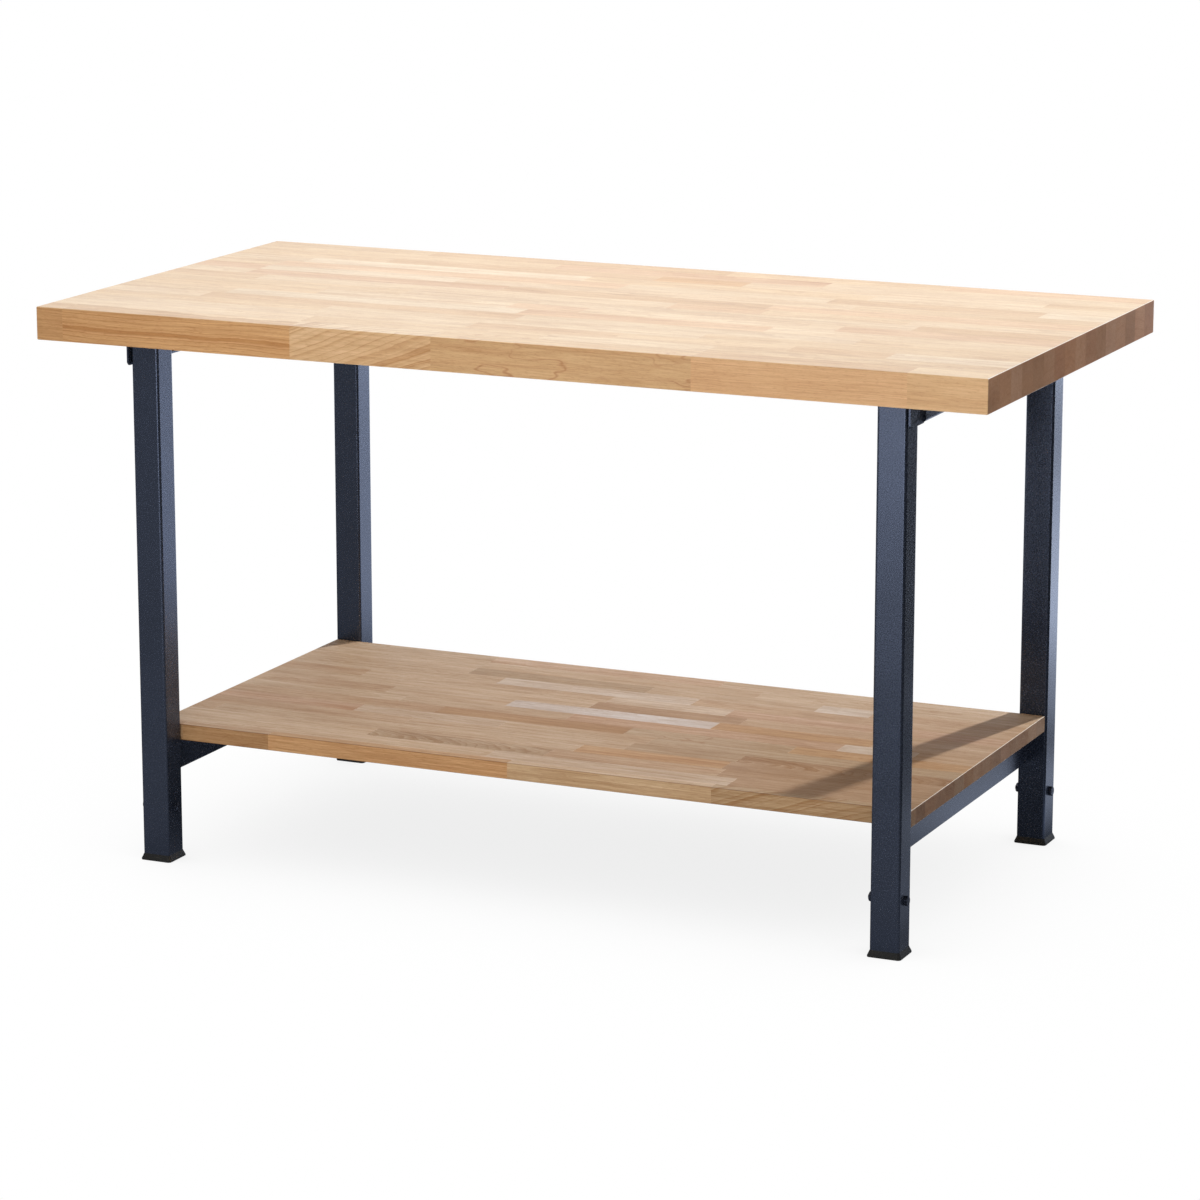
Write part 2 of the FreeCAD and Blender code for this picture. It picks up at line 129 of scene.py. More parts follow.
# ------------------------------------------------------------------ finishes
PAINTS = {                      # sRGB, 0 to 255
    "coat": (65, 72, 88),
    "coat_mottle": (71, 78, 95),
    "coat_flake": (100, 110, 134),
    "coat_patch": (60, 66, 80),
    "plastic": (34, 33, 31),
    "plastic_scuff": (60, 59, 53),
    "oxide": (52, 56, 68),
    "oxide_rubbed": (126, 134, 154),
    "zinc": (196, 198, 198),
    "zinc_bloom": (163, 165, 160),
    "zinc_streak": (138, 140, 140),
}
# Noise in the wood: size along and across the grain (mm), detail and roughness.
WOOD_NOISE = {
    "sway": (170, 50, 2.0, 0.5),
    "ripple": (16, 8, 1.0, 0.5),
    "fibre": (38, 1.5, 3.0, 0.6),
    "line": (150, 3.0, 4.0, 0.7),
    "streak": (230, 10, 3.0, 0.5),
    "cloud": (190, 38, 2.0, 0.5),
    "fleck": (9, 1.5, 1.0, 0.5),
    "pore": (2.2, 0.4, 1.0, 0.5),
    "wander": (110, 30, 2.0, 0.5),
}
# Where in its noise, or in the surface's direction, a mark starts and is full, and how
# strong it is there where that isn't 0 and 1.
WOOD_EDGES = {
    "late_end": (0.85, 1.0, 1.0, 0.0),
    "year": (0.35, 0.65, 0.35, 1.0),
    "fleck": (0.54, 0.70, 0.0, 0.36),
    "pore": (0.60, 0.72),
    "vein": (0.0, 0.018, 1.0, 0.0),
    "vein_patch": (0.4, 0.6),
    "heart": (0.50, 0.76, 0.0, 0.6),
    "pale": (0.42, 0.25, 0.0, 0.5),
    "on_end": (0.75, 0.95),
    "on_edge": (0.55, 0.85),
    "end_arris": (0.12, 0.30),
    "end_arris_top": (0.50, 0.75),
    "long_arris": (0.12, 0.40),
    "end_tone": (0.3, 0.7, 0.88, 1.16),
}
# What a full mark multiplies the wood's colour by.
WOOD_MARKS = {
    "late_wood": (0.74, 0.60, 0.45, 1.0),
    "heart": (0.84, 0.70, 0.58, 1.0),
    "pale": (1.05, 1.10, 1.16, 1.0),
    "fleck": (0.72, 0.58, 0.46, 1.0),
    "pore": (0.50, 0.38, 0.28, 1.0),
    "vein": (0.74, 0.56, 0.46, 1.0),
}
WOOD_SWINGS = {"fibre": 0.50, "line": 0.60, "cloud": 0.36}      # share of the wood's tone
REDDENING = (0.7, 1.0, 1.35)    # darker wood is redder too: powers for red, green and blue
# A painted highlight along the top arrises at the boards' ends.
ARRIS_HIGHLIGHT = (0.98, 0.93, 0.86, 1.0)
GRAIN_SWAY = 16                 # how far the grain sways sideways, mm
GRAIN_RIPPLE = 2.4              # how far it ripples, mm
RING_DRIFT = 1.4                # how unevenly the rings are spaced, in rings
LATE_WOOD_POWER = 2.2           # how late in its year a ring darkens
YEAR_RATE = 0.55                # how fast strong and weak years alternate, for each ring
END_RATE = 0.37                 # how fast the tone of the ends varies from stave to stave
PORE_SHARE = 0.25               # how much of the pores' own tint shows
WOOD_RELIEF = 0.05              # how deep the surface's relief is, mm
LATE_WOOD_DEPTH = 0.25          # share of that depth
PORE_DEPTH = 0.7
WOOD_IOR = 1.5

# ------------------------------------------------------------------ block boards
JOINT_EDGE = 0.06               # radius of the staves' edges along every glue joint, mm
EASED_STEPS = 4                 # faces round each eased edge
SHARP_ANGLE = math.radians(50)
TONES = {                       # a stave's colour, as a share of its board's own
    "chalk": (1.035, 1.14, 1.32),
    "white": (1.03, 1.08, 1.15),
    "cream": (1.00, 1.01, 1.02),
    "straw": (0.98, 0.96, 0.92),
    "honey": (1.02, 0.88, 0.72),
    "peach": (0.98, 0.92, 0.88),
    "tan": (0.92, 0.86, 0.79),
    "rose": (0.94, 0.86, 0.81),
    "amber": (0.93, 0.82, 0.68),
    "grey": (0.87, 0.84, 0.78),
    "rust": (0.84, 0.72, 0.58),
    "brown": (0.82, 0.74, 0.66),
}
# How a stave was cut from the log: where the pith lies from the stave's middle (mm,
# across and up), how far the grain runs out of line, how far apart the rings are, and
# how plainly rings, heart streaks and dark veins show.
CUTS = {
    "quarter": ((15, -190), (0.006, 0.004), 3.2, (0.50, 0.7, 0.0)),
    "flat": ((-95, 20), (0.03, -0.02), 4.2, (0.60, 0.9, 0.0)),
    "crown": ((8, -60), (0.012, 0.03), 4.6, (0.65, 0.6, 0.0)),
    "plain": ((-40, -240), (0.004, 0.003), 3.4, (0.75, 0.3, 0.0)),
    "lined": ((30, -260), (0.004, 0.010), 6.5, (1.90, 0.4, 0.0)),
    "slant": ((40, -150), (0.0, -0.37), 9.5, (1.50, 0.2, 0.0)),
    "veined": ((-60, -90), (0.05, 0.07), 6.0, (0.50, 0.8, 0.8)),
    "chevron": ((4, -26), (0.01, 0.16), 2.8, (1.80, 0.5, 0.0)),
    "heart": ((-25, -90), (0.01, 0.01), 4.0, (0.60, 1.8, 0.15)),
}
COMMON_CUTS = ["quarter", "quarter", "flat", "crown", "plain", "plain"]
# How far a single stave strays from its cut and tone, as factors, and where along the
# stave its pith comes closest, as a share of its length.
VARY = {
    "pith_across": (0.8, 1.2),
    "pith_up": (0.9, 1.3),
    "pith_along": (0.3, 0.7),
    "tint": (0.98, 1.02),
    "run_across": (-1.5, 1.5),
    "run_up": (0.9, 1.1),
    "spacing": (0.85, 1.15),
}

# Rows from the front to the back.  Each stave: where it ends from the board's left end
# (mm), its tone, its cut where one stands out, and its tone on top where that differs.
WORKTOP_ROWS = [
    [(45, "rust", "plain", "tan"), (428, "amber", "lined", "straw"), (657, "cream", "slant"),
     (1062, "grey", "veined", "straw"), (1383, "peach", "plain", "tan"),
     (1500, "straw", "crown")],
    [(420, "cream"), (806, "straw"), (1062, "cream"), (1500, "straw")],
    [(665, "cream"), (900, "tan"), (1165, "straw"), (1315, "tan"), (1500, "white")],
    [(400, "straw"), (1010, "cream"), (1500, "straw")],
    [(170, "cream"), (700, "tan", "crown"), (1230, "cream"), (1500, "straw")],
    [(190, "straw"), (680, "white"), (1075, "peach", "heart"), (1500, "cream")],
    [(320, "straw"), (640, "cream"), (760, "peach"), (1165, "cream"), (1500, "rose")],
    [(440, "straw"), (1265, "cream"), (1500, "tan")],
    [(165, "tan"), (860, "cream"), (1010, "peach"), (1240, "straw"), (1500, "cream")],
    [(120, "cream"), (560, "rose", "heart"), (1000, "tan"), (1500, "peach")],
    [(120, "rose"), (460, "white"), (1115, "cream"), (1500, "straw")],
    [(120, "straw"), (720, "peach"), (1060, "cream"), (1395, "tan"), (1500, "white")],
    [(150, "cream"), (635, "white"), (1110, "straw"), (1500, "cream")],
    [(270, "straw"), (735, "tan"), (885, "amber"), (1370, "cream"), (1500, "straw")],
    [(540, "straw"), (1000, "rose", "heart"), (1500, "cream")],
    [(300, "straw"), (820, "tan"), (1180, "straw"), (1500, "peach")],
]
SHELF_ROWS = [
    [(45, "brown"), (193, "rust", "flat", "tan"), (594, "honey", "plain", "amber"),
     (921, "straw", "crown"), (1229, "grey", "slant")],
    [(548, "straw"), (938, "cream"), (1229, "brown", "heart")],
    [(330, "straw"), (625, "grey", "chevron"), (903, "tan"), (1229, "brown")],
    [(42, "tan"), (655, "straw"), (895, "amber", "heart"), (1229, "brown")],
    [(350, "tan", "heart"), (720, "straw"), (900, "grey"), (1229, "brown", "chevron")],
    [(243, "rose", "heart"), (490, "cream"), (738, "straw"), (1229, "grey")],
    [(362, "tan"), (682, "rust"), (950, "grey", "veined"), (1229, "amber")],
    [(280, "straw"), (565, "straw", "crown"), (1012, "rose"), (1130, "white"), (1229, "tan")],
    [(235, "tan"), (445, "straw", "flat"), (790, "chalk", "plain"), (1050, "amber"),
     (1229, "tan")],
    [(568, "straw"), (820, "brown"), (1229, "tan")],
    [(150, "tan"), (578, "straw"), (780, "cream", "crown"), (1229, "rose")],
    [(370, "straw"), (705, "white", "plain"), (1229, "tan")],
    [(300, "straw"), (610, "grey"), (895, "straw"), (985, "white"), (1229, "tan")],
    [(300, "straw", "crown"), (780, "straw"), (1229, "straw")],
    [(300, "straw"), (700, "peach"), (1229, "straw")],
]


# ------------------------------------------------------------------ short forms
def shade(name):
    """A named paint as the value of a colour socket."""
    parts = [c / 255 for c in PAINTS[name]]
    return [*(p / 12.92 if p <= 0.04045 else ((p + 0.055) / 1.055) ** 2.4 for p in parts), 1.0]


def put(name, data):
    """A new object in the scene."""
    thing = bpy.data.objects.new(name, data)
    bpy.context.scene.collection.objects.link(thing)
    return thing


def sheet(name, corners, material):
    """A flat four-cornered object."""
    mesh = bpy.data.meshes.new(name)
    mesh.from_pydata(corners, [], [(0, 1, 2, 3)])
    mesh.materials.append(material)
    return put(name, mesh)


class Nodes:
    """Short forms for the nodes of a world or a material."""

    def __init__(self, owner):
        owner.use_nodes = True
        self.tree = owner.node_tree

    def feed(self, socket, value):
        """Links another node's socket to this one, or sets its value."""
        if isinstance(value, bpy.types.NodeSocket):
            self.tree.links.new(value, socket)
        else:
            socket.default_value = value

    def add(self, kind, inputs=(), **settings):
        node = self.tree.nodes.new(kind)
        for key, value in settings.items():
            setattr(node, key, value)
        for key, value in dict(inputs).items():
            self.feed(node.inputs[key], value)
        return node

    def math(self, operation, *values):
        return self.add("ShaderNodeMath", enumerate(values), operation=operation).outputs[0]

    def product(self, value, *others):
        """All the values multiplied."""
        for other in others:
            value = self.math("MULTIPLY", value, other)
        return value

    def scaled(self, value, factor, offset):
        """value * factor + offset."""
        return self.math("MULTIPLY_ADD", value, factor, offset)

    def ramp(self, value, low, high, to_low=0.0, to_high=1.0):
        """value from low to high, eased to to_low to to_high."""
        inputs = enumerate((value, low, high, to_low, to_high))
        node = self.add("ShaderNodeMapRange", inputs, interpolation_type="SMOOTHSTEP")
        return node.outputs[0]

    def split(self, vector):
        return self.add("ShaderNodeSeparateXYZ", {0: vector}).outputs

    def by_ray(self, kind, others, these):
        """One shader for rays of this kind and another for all others."""
        is_kind = self.add("ShaderNodeLightPath").outputs[f"Is {kind} Ray"]
        return self.add("ShaderNodeMixShader", {0: is_kind, 1: others, 2: these}).outputs[0]


class Finish(Nodes):
    """A material, with short forms for patterns in its object's own coordinates."""

    def __init__(self, name):
        self.material = bpy.data.materials.new(name)
        super().__init__(self.material)
        self.shader = self.tree.nodes["Principled BSDF"]
        self.place = self.add("ShaderNodeTexCoord").outputs["Object"]

    def set(self, **inputs):
        """Sets or links the shader's own sockets; underscores stand for spaces."""
        for key, value in inputs.items():
            self.feed(self.shader.inputs[key.replace("_", " ")], value)

    def vector(self, operation, *values):
        node = self.add("ShaderNodeVectorMath", enumerate(values), operation=operation)
        return node.outputs[0]

    def noise(self, size, detail=2.0, roughness=0.5, seed=0.0, output="Fac"):
        """Noise whose pattern repeats about every size[0], size[1] and size[2] mm."""
        place = self.vector("MULTIPLY", self.place, [1 / (s * MM) for s in size])
        inputs = {"Vector": place, "W": seed, "Scale": 1.0, "Detail": detail}
        inputs["Roughness"] = roughness
        node = self.add("ShaderNodeTexNoise", inputs, noise_dimensions="4D")
        return node.outputs[output]

    def grain(self, size, detail=2.0):
        """Noise that is the same along X, Y and Z."""
        return self.noise((size, size, size), detail)

    def line_noise(self, value):
        """Noise along one line."""
        inputs = {"W": value, "Scale": 1.0, "Detail": 2.0}
        return self.add("ShaderNodeTexNoise", inputs, noise_dimensions="1D").outputs["Fac"]

    def mix(self, share, a, b, blend="MIX"):
        inputs = {0: share, 6: a, 7: b}
        node = self.add("ShaderNodeMix", inputs, data_type="RGBA", blend_type=blend)
        return node.outputs[2]

    def tinted(self, share, colour, by):
        """colour, with a share of it multiplied by another."""
        return self.mix(share, colour, by, "MULTIPLY")

    def attribute(self, name):
        return self.add("ShaderNodeAttribute", attribute_name=name).outputs["Vector"]

    def bump(self, height, depth, strength):
        """Normals for a height of 0 to 1 that is depth millimetres deep."""
        inputs = {"Height": height, "Distance": depth * MM, "Strength": strength}
        return self.add("ShaderNodeBump", inputs).outputs["Normal"]


# ------------------------------------------------------------------ materials
def beech(name, edge_grain_and_shade, end_grain_and_shade, arris_shade, depth, roughness):
    """Beech staves: rings round each stave's own pith, fibres, rays, streaks and veins.

    Three colours tint the long edges, the ends and the long arrises between top and edge.
    The darker edges and ends are partly the grain's own tone and partly painted shade, and a
    darker arris tint is a painted shade line.  depth is how far light and dark grain lie
    apart.
    """
    f = Finish(name)
    tone = f.attribute("stave_tone")
    pith = f.attribute("stave_pith")
    run_out_y, run_out_z, spacing = f.split(f.attribute("stave_grain"))
    ring_share, heart_share, vein_share = f.split(f.attribute("stave_figure"))
    seed = f.split(pith)[0]

    def noise(kind, output="Fac"):
        along_grain, across_grain, detail, coarse = WOOD_NOISE[kind]
        size = (along_grain, across_grain, across_grain)
        return f.noise(size, detail, coarse, seed, output)

    def edge(kind, value):
        return f.ramp(value, *WOOD_EDGES[kind])

    # Rings: cylinders round the pith, bent by the grain's sway and ripple.
    millimetres = f.vector("MULTIPLY", f.place, (1 / MM, 1 / MM, 1 / MM))
    along, across, up = f.split(f.vector("SUBTRACT", millimetres, pith))
    _, sway_y, sway_z = f.split(noise("sway", "Color"))
    y = f.scaled(sway_y, GRAIN_SWAY, f.scaled(along, run_out_y, across))
    z = f.scaled(sway_z, GRAIN_SWAY, f.scaled(along, run_out_z, up))
    radius = f.math("SQRT", f.scaled(y, y, f.math("MULTIPLY", z, z)))
    radius = f.scaled(noise("ripple"), GRAIN_RIPPLE, radius)
    rings = f.math("DIVIDE", radius, spacing)
    ring = f.math("FRACT", f.scaled(f.line_noise(rings), RING_DRIFT, rings))
    year = edge("year", f.line_noise(f.math("MULTIPLY", rings, YEAR_RATE)))
    darkening = f.math("POWER", ring, LATE_WOOD_POWER)
    late_wood = f.product(darkening, edge("late_end", ring), year)

    streak = noise("streak")
    cloud = noise("cloud")
    pores = edge("pore", noise("pore"))
    off_vein = f.math("ABSOLUTE", f.math("SUBTRACT", noise("wander"), 0.5))
    veins = f.product(edge("vein", off_vein), edge("vein_patch", cloud))

    # Ends, long edges and arrises are told apart by the way they face.
    facing = f.vector("ABSOLUTE", f.add("ShaderNodeTexCoord").outputs["Normal"])
    facing_x, facing_y, facing_z = f.split(facing)
    on_end = edge("on_end", facing_x)
    on_edge = edge("on_edge", facing_y)
    end_arris = f.product(edge("end_arris", facing_x), edge("end_arris_top", facing_z))
    long_arris = edge("long_arris", f.math("MULTIPLY", facing_y, facing_z))
    end_tone = edge("end_tone", f.line_noise(f.math("MULTIPLY", seed, END_RATE)))

    value = 1.0
    for kind, share in WOOD_SWINGS.items():
        pattern = cloud if kind == "cloud" else noise(kind)
        swing = f.scaled(pattern, share * depth, 1 - share * depth / 2)
        value = f.math("MULTIPLY", value, swing)
    swings = [f.math("POWER", value, power) for power in REDDENING]
    swing = f.add("ShaderNodeCombineXYZ", enumerate(swings)).outputs[0]
    colour = f.tinted(1.0, tone, swing)
    marks = {
        "late_wood": f.math("MULTIPLY", late_wood, ring_share),
        "heart": f.math("MULTIPLY", edge("heart", streak), heart_share),
        "pale": edge("pale", streak),
        "fleck": edge("fleck", noise("fleck")),
        "pore": f.math("MULTIPLY", pores, PORE_SHARE),
        "vein": f.math("MULTIPLY", veins, vein_share),
    }
    for mark, share in marks.items():
        colour = f.tinted(share, colour, WOOD_MARKS[mark])
    # Partly painted shade: the long edges and the ends are tinted darker, partly their grain's
    # own tone and partly standing in for shade.
    colour = f.tinted(on_edge, colour, edge_grain_and_shade)
    # A darker tint along the long arrises is a painted shade line.
    colour = f.tinted(long_arris, colour, arris_shade)
    colour = f.tinted(on_end, f.tinted(on_end, colour, end_grain_and_shade), end_tone)
    # A painted highlight along the ends' top arrises, on the upper half of their rounding.
    colour = f.mix(end_arris, colour, ARRIS_HIGHLIGHT)

    for pattern, more in ((streak, 0.10), (late_wood, -0.06), (pores, 0.15), (on_end, 0.16)):
        roughness = f.scaled(pattern, more, roughness)
    sunk = f.scaled(late_wood, LATE_WOOD_DEPTH, f.math("MULTIPLY", pores, PORE_DEPTH))
    relief = f.bump(f.math("SUBTRACT", 1.0, sunk), depth=WOOD_RELIEF, strength=0.8)
    f.set(Base_Color=colour, Roughness=roughness, IOR=WOOD_IOR, Normal=relief)
    return f.material


def powder_coat():
    """Anthracite powder coat with metal flake and a fine orange peel."""
    f = Finish("powder_coat")
    peel = f.grain(1.6)
    flake = f.grain(0.5, detail=1.0)
    mottle = f.grain(2.6)
    patch = f.grain(90)
    colour = f.mix(f.ramp(mottle, 0.30, 0.70), shade("coat"), shade("coat_mottle"))
    colour = f.mix(f.ramp(flake, 0.55, 0.72, to_high=0.4), colour, shade("coat_flake"))
    colour = f.mix(f.ramp(patch, 0.35, 0.70, to_high=0.35), colour, shade("coat_patch"))
    rough = f.scaled(mottle, 0.04, f.scaled(peel, 0.05, offset=0.23))
    height = f.scaled(peel, 0.7, f.math("MULTIPLY", flake, 0.3))
    relief = f.bump(height, depth=0.03, strength=0.17)
    f.set(Base_Color=colour, Metallic=0.75, Roughness=rough, Normal=relief)
    return f.material


def moulded_plastic():
    """Matt black polyethylene with a fine spark-eroded grain."""
    f = Finish("moulded_plastic")
    grain = f.grain(0.45)
    scuff = f.ramp(f.noise((14, 14, 3), detail=3.0), 0.5, 0.8, to_high=0.6)
    colour = f.mix(scuff, shade("plastic"), shade("plastic_scuff"))
    rough = f.scaled(grain, 0.2, offset=0.42)
    f.set(Base_Color=colour, Roughness=rough, Normal=f.bump(grain, depth=0.06, strength=0.7))
    return f.material


def black_oxide():
    """Oiled black fasteners, rubbed brighter in places."""
    f = Finish("black_oxide")
    rub = f.grain(2.2, detail=3.0)
    colour = f.mix(f.ramp(rub, 0.45, 0.75), shade("oxide"), shade("oxide_rubbed"))
    rough = f.scaled(rub, 0.3, offset=0.3)
    relief = f.bump(rub, depth=0.03, strength=0.5)
    f.set(Base_Color=colour, Metallic=0.9, Roughness=rough, Normal=relief)
    return f.material


def zinc(name, drawn):
    """Zinc plate; drawn gives the size of its streaks along X, Y and Z, in mm."""
    f = Finish(name)
    streak = f.noise(drawn, detail=3.0)
    bloom = f.grain(11)
    colour = f.mix(f.ramp(bloom, 0.30, 0.75), shade("zinc"), shade("zinc_bloom"))
    colour = f.mix(f.ramp(streak, 0.45, 0.80, to_high=0.5), colour, shade("zinc_streak"))
    rough = f.scaled(bloom, 0.10, f.scaled(streak, 0.20, offset=0.20))
    relief = f.bump(streak, depth=0.02, strength=0.5)
    f.set(Base_Color=colour, Metallic=1.0, Roughness=rough, Normal=relief)
    return f.material


# ------------------------------------------------------------------ the boards
def stave_profile(y0, y1, z0, z1, radii, inset):
    """Points round a stave's section, with a rounded corner at each of its four edges.

    The inset takes the board's outer faces in, but not the glued sides between rows.
    """
    corners = [(y0, z0, 180), (y1, z0, 270), (y1, z1, 0), (y0, z1, 90)]
    points = []
    for (y, z, start), radius in zip(corners, radii):
        rest = max(radius - inset, 0.0)
        cy = y + radius * (1 if y == y0 else -1)
        cz = z + max(radius, inset) * (1 if z == z0 else -1)
        for step in range(EASED_STEPS + 1):
            turn = math.radians(start + 90 * step / EASED_STEPS)
            points.append((cy + rest * math.cos(turn), cz + rest * math.sin(turn)))
    return points


def end_rings(end, outwards, radius):
    """X and inset of the sections that round off one end of a stave, inside to outside."""
    rings = []
    for step in range(EASED_STEPS + 1):
        turn = math.radians(90 * step / EASED_STEPS)
        x = end - outwards * radius * (1 - math.sin(turn))
        rings.append((x, radius * (1 - math.cos(turn))))
    return rings


def add_stave(points, faces, spans, radii, end_radii):
    """Adds one stave's closed shell to the row's points and faces."""
    (x0, x1), (y0, y1), (z0, z1) = spans
    rings = end_rings(x0, -1, end_radii[0])[::-1] + end_rings(x1, 1, end_radii[1])
    base = len(points)
    for x, inset in rings:
        points += [(x, y, z) for y, z in stave_profile(y0, y1, z0, z1, radii, inset)]
    count = 4 * (EASED_STEPS + 1)
    for ring in range(len(rings) - 1):
        start = base + ring * count
        for k in range(count):
            after = (k + 1) % count
            faces.append((start + k, start + count + k, start + count + after, start + after))
    last = base + (len(rings) - 1) * count
    faces.append([base + k for k in range(count)])
    faces.append([last + k for k in reversed(range(count))])


def stave_looks(stave, spans, base_colour, contrast, rng):
    """A stave's colour, its pith, the run of its grain and how its figure shows.

    The second look is the same stave's on top, where its tone may differ.
    """
    (x0, x1), (y0, y1), (z0, z1) = spans
    tone = stave[1]
    cut = stave[2] if len(stave) > 2 else rng.choice(COMMON_CUTS)
    top_tone = stave[3] if len(stave) > 3 else tone
    (off_y, off_z), (run_y, run_z), spacing, figure = CUTS[cut]
    off_y *= rng.choice((-1, 1)) * rng.uniform(*VARY["pith_across"])
    off_z *= rng.uniform(*VARY["pith_up"])
    middle_x = x0 + (x1 - x0) * rng.uniform(*VARY["pith_along"])
    tint = rng.uniform(*VARY["tint"])
    run_y *= rng.uniform(*VARY["run_across"])
    run_z *= rng.uniform(*VARY["run_up"])
    spacing *= rng.uniform(*VARY["spacing"])
    side, top = [
        [base * tint * share ** contrast for base, share in zip(base_colour, TONES[key])]
        for key in (tone, top_tone)
    ]
    look = {
        "stave_tone": side,
        "stave_pith": (middle_x, (y0 + y1) / 2 + off_y, (z0 + z1) / 2 + off_z),
        "stave_grain": (run_y, run_z, spacing),
        "stave_figure": figure,
    }
    return look, {**look, "stave_tone": top}


def board(name, node, rows, front_width, eased, base_colour, contrast, material):
    """A block board: one piece for each row of staves, with its own mesh and joints.

    front_width is the front row's width and eased the radius of the board's outer edges,
    in mm.  contrast is how far the staves' tones lie apart.
    """
    low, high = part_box(node)
    low, high = low / MM, high / MM
    row_width = (high.y - low.y - front_width) / (len(rows) - 1)
    rng = random.Random(name)
    corner = EASED_STEPS + 1
    y1 = low.y
    for index, row in enumerate(rows):
        y0 = y1
        y1 = y0 + (row_width if index else front_width)
        front = eased if index == 0 else JOINT_EDGE
        back = eased if index == len(rows) - 1 else JOINT_EDGE
        points, faces, looks = [], [], []
        start = 0.0
        for stave in row:
            spans = ((low.x + start, low.x + stave[0]), (y0, y1), (low.z, high.z))
            end_radii = (
                eased if stave is row[0] else JOINT_EDGE,
                eased if stave is row[-1] else JOINT_EDGE,
            )
            add_stave(points, faces, spans, (front, back, back, front), end_radii)
            look, top = stave_looks(stave, spans, base_colour, contrast, rng)
            # A section's points: the two lower corners, then the two upper ones, whose
            # last point is on the front face again.
            while len(looks) < len(points):
                looks += [look] * 2 * corner + [top] * (2 * corner - 1) + [look]
            start = stave[0]
        mesh = bpy.data.meshes.new(f"{name}_row_{index + 1:02d}")
        mesh.from_pydata([tuple(c * MM for c in p) for p in points], [], faces)
        for key in looks[0]:
            layer = mesh.attributes.new(key, "FLOAT_VECTOR", "POINT")
            layer.data.foreach_set("vector", [value for look in looks for value in look[key]])
        mesh.materials.append(material)
        mesh.shade_smooth()
        mesh.set_sharp_from_angle(angle=SHARP_ANGLE)
        piece = put(mesh.name, mesh)
        piece.modifiers.new("flat_faces", "WEIGHTED_NORMAL").keep_sharp = True
        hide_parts(node)
        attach(piece, "table")


# ------------------------------------------------------------------ the studio
def make_camera():
    data = bpy.data.cameras.new("camera")
    data.lens = CAMERA_LENS
    data.sensor_width = CAMERA_SENSOR
    data.clip_end = CAMERA_REACH
    camera = put("camera", data)
    camera.location = CAMERA_PLACE
    camera.rotation_euler = (math.pi / 2 - CAMERA_PITCH, 0.0, CAMERA_YAW)
    bpy.context.scene.camera = camera


def make_lamps():
    for name, place, target, width, height, watts, in_gloss in LAMPS:
        data = bpy.data.lights.new(name, "AREA")
        data.shape = "RECTANGLE"
        data.size = width
        data.size_y = height
        data.energy = watts
        lamp = put(name, data)
        lamp.location = place
        towards = Vector(target) - Vector(place)
        lamp.rotation_euler = towards.to_track_quat("-Z", "Y").to_euler()
        lamp.visible_camera = False
        lamp.visible_glossy = in_gloss


def make_world():
    """White to the camera, an even fill for the object, and walls in its gloss."""
    world = bpy.data.worlds.new("studio")
    bpy.context.scene.world = world
    w = Nodes(world)
    fill = w.tree.nodes["Background"]
    w.feed(fill.inputs["Color"], WHITE)
    w.feed(fill.inputs["Strength"], SKY_FILL)
    way = w.split(w.add("ShaderNodeTexCoord").outputs["Generated"])
    walls = w.ramp(way["Y"], *WALL_TURN, WALL_FRONT, WALL_BACK)
    in_gloss = w.add("ShaderNodeBackground", {"Color": COOL_WHITE, "Strength": walls})
    shown = w.add("ShaderNodeBackground", {"Color": WHITE})
    unseen = w.by_ray("Glossy", fill.outputs[0], in_gloss.outputs[0])
    sky = w.by_ray("Camera", unseen, shown.outputs[0])
    w.feed(w.tree.nodes["World Output"].inputs["Surface"], sky)


def floor_pools(f):
    """How bright each part of the floor is in gloss: dark near the table, pools round it."""
    x, y, _ = f.split(f.place)
    aside = f.scaled(y, -POOL_SLANT, x)

    def edge(name, value):
        return f.ramp(value, *POOL_EDGES[name])

    lamp = f.math("ADD", edge("lamp_rise", y), edge("lamp_fall", y))
    lamp = f.product(lamp, edge("lamp_left", aside), edge("lamp_right", aside))
    left = f.product(edge("left_side", aside), edge("left_rise", y), edge("left_fall", y))
    behind = f.math("ADD", edge("behind_rise", y), edge("behind_glow", y))
    behind = f.math("ADD", f.math("ADD", behind, left), lamp)
    behind = f.math("MULTIPLY", behind, edge("behind_right", aside))
    beside = f.product(edge("beside_left", x), edge("beside_right", x))
    for name in ("beside_front", "beside_back", "beside_dip"):
        beside = f.math("MULTIPLY", beside, edge(name, y))
    far_front = f.math("ADD", edge("front_rise", y), edge("front_glow", y))
    far_front = f.math("MULTIPLY", edge("front_left", x), far_front)
    front = f.math("ADD", far_front, POOL_FRONT)
    front = f.product(front, edge("front_right", x), edge("front_edge", y))
    back = f.math("MAXIMUM", behind, beside)
    return f.math("ADD", f.math("ADD", back, front), POOL_GROUND)


def make_floor():
    """A pale floor: white with a faint soft painted shadow, glowing to gloss in painted pools
    of light, grey to the rest.

    The camera looks through it, so a foot that is let down below it still shows.
    """
    f = Finish("pale_floor")
    y = f.split(f.place)["Y"]
    white = f.mix(f.ramp(y, *POOL_EDGES["front_edge"]), COOL_WHITE, SOFT_WHITE)
    mirror = f.add("ShaderNodeEmission", {"Color": white, "Strength": floor_pools(f)})
    open_sky = f.add(
        "ShaderNodeAmbientOcclusion", {"Distance": FLOOR_REACH}, samples=FLOOR_SAMPLES
    )
    shadow = f.ramp(open_sky.outputs["AO"], 0.0, 1.0, to_low=FLOOR_SHADE)
    seen = f.add("ShaderNodeBsdfTransparent", {"Color": shadow})
    f.set(Base_Color=FLOOR_GREY, Roughness=STUDIO_ROUGHNESS)
    unseen = f.by_ray("Glossy", f.shader.outputs[0], mirror.outputs[0])
    surface = f.by_ray("Camera", unseen, seen.outputs[0])
    f.feed(f.tree.nodes["Material Output"].inputs["Surface"], surface)
    f.material.cycles.emission_sampling = "NONE"
    half = FLOOR_HALF
    corners = [(-half, -half, 0), (half, -half, 0), (half, half, 0), (-half, half, 0)]
    floor = sheet("floor", corners, f.material)


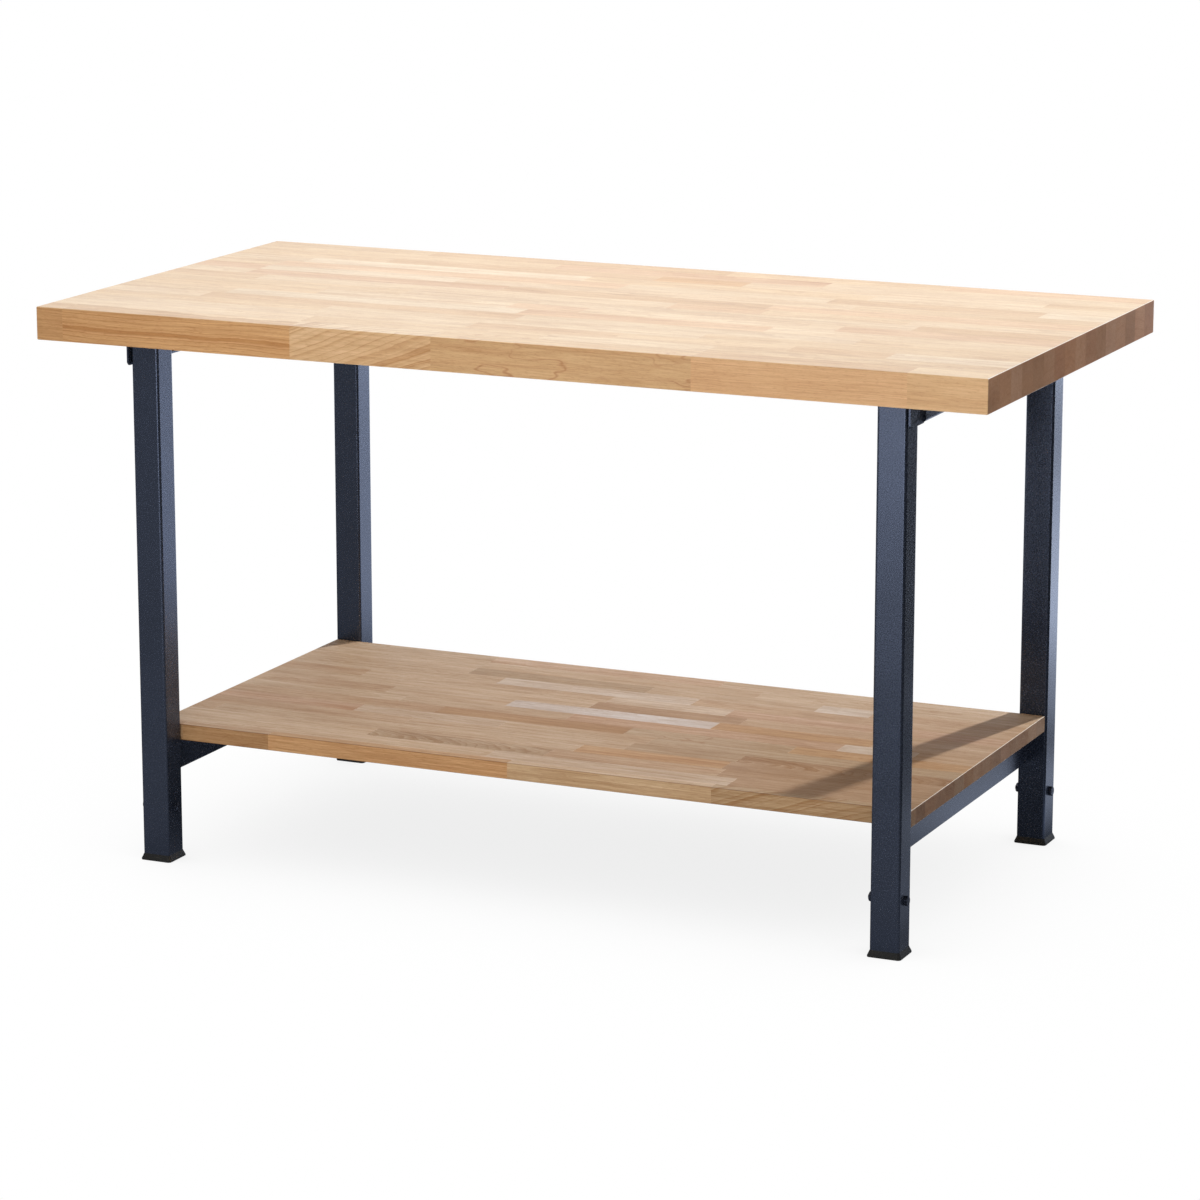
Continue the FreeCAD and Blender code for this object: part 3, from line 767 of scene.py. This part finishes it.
def make_cards():
    """Dark cards beside the table and under it that only gloss can see: painted dark
    reflections.
    """
    for name, (x0, x1, y, z0, z1, middle) in CARDS.items():
        f = Finish(name)
        colour = CARD_BLACK
        if middle:
            z = f.split(f.place)["Z"]
            low, high = middle
            grey = f.product(
                f.ramp(z, low - CARD_BLUR, low + CARD_BLUR),
                f.ramp(z, high + CARD_BLUR, high - CARD_BLUR),
            )
            colour = f.mix(grey, CARD_BLACK, CARD_GREY)
        f.set(Base_Color=colour, Roughness=STUDIO_ROUGHNESS)
        corners = [(x0, y, z0), (x1, y, z0), (x1, y, z1), (x0, y, z1)]
        card = sheet(name, corners, f.material)
        card.visible_camera = False
        card.visible_diffuse = False
        card.visible_shadow = False
        card.visible_transmission = False


# ------------------------------------------------------------------ finish every node
def coat_nodes():
    """Gives every CAD node that stays visible its finish."""
    coats = {
        "frame_coat": powder_coat(),
        "foot_plastic": moulded_plastic(),
        "clamp_bolt_dark": black_oxide(),
        "foot_tube_zinc": zinc("drawn_zinc", drawn=(1.2, 1.2, 60)),
        "screw_zinc": zinc("plated_zinc", drawn=(2, 2, 2)),
    }
    for part in frame["record"]["subparts"]:
        coat = coats.get(part["material_slot"])
        if coat is None:
            continue
        node = frame["nodes"][part["node"]]
        for slot in node.material_slots:
            slot.material = coat


make_camera()
make_lamps()
make_world()
make_floor()
make_cards()
coat_nodes()
board(
    "worktop",
    node="worktop",
    rows=WORKTOP_ROWS,
    front_width=750 / 16,
    eased=1.5,
    # Lighter than the shelf's, in part as a painted sheen on the top.
    base_colour=(0.785, 0.588, 0.373),
    contrast=1.05,
    material=beech(
        "worktop_beech",
        edge_grain_and_shade=(0.84, 0.71, 0.585, 1.0),
        end_grain_and_shade=(0.525, 0.373, 0.32, 1.0),
        arris_shade=WHITE,
        depth=1.20,
        roughness=0.34,
    ),
)
board(
    "shelf",
    node="shelf_board",
    rows=SHELF_ROWS,
    front_width=18.0,
    eased=1.0,
    # Darker than the worktop's, in part as painted shade from the worktop above.
    base_colour=(0.54, 0.413, 0.305),
    contrast=1.4,
    material=beech(
        "shelf_beech",
        edge_grain_and_shade=(0.94, 0.82, 0.64, 1.0),
        end_grain_and_shade=(0.50, 0.43, 0.40, 1.0),
        # A painted shade line along the shelf's long arrises.
        arris_shade=(0.60, 0.50, 0.42, 1.0),
        depth=2.0,
        roughness=0.62,
    ),
)

bpy.context.scene.view_settings.view_transform = "Standard"
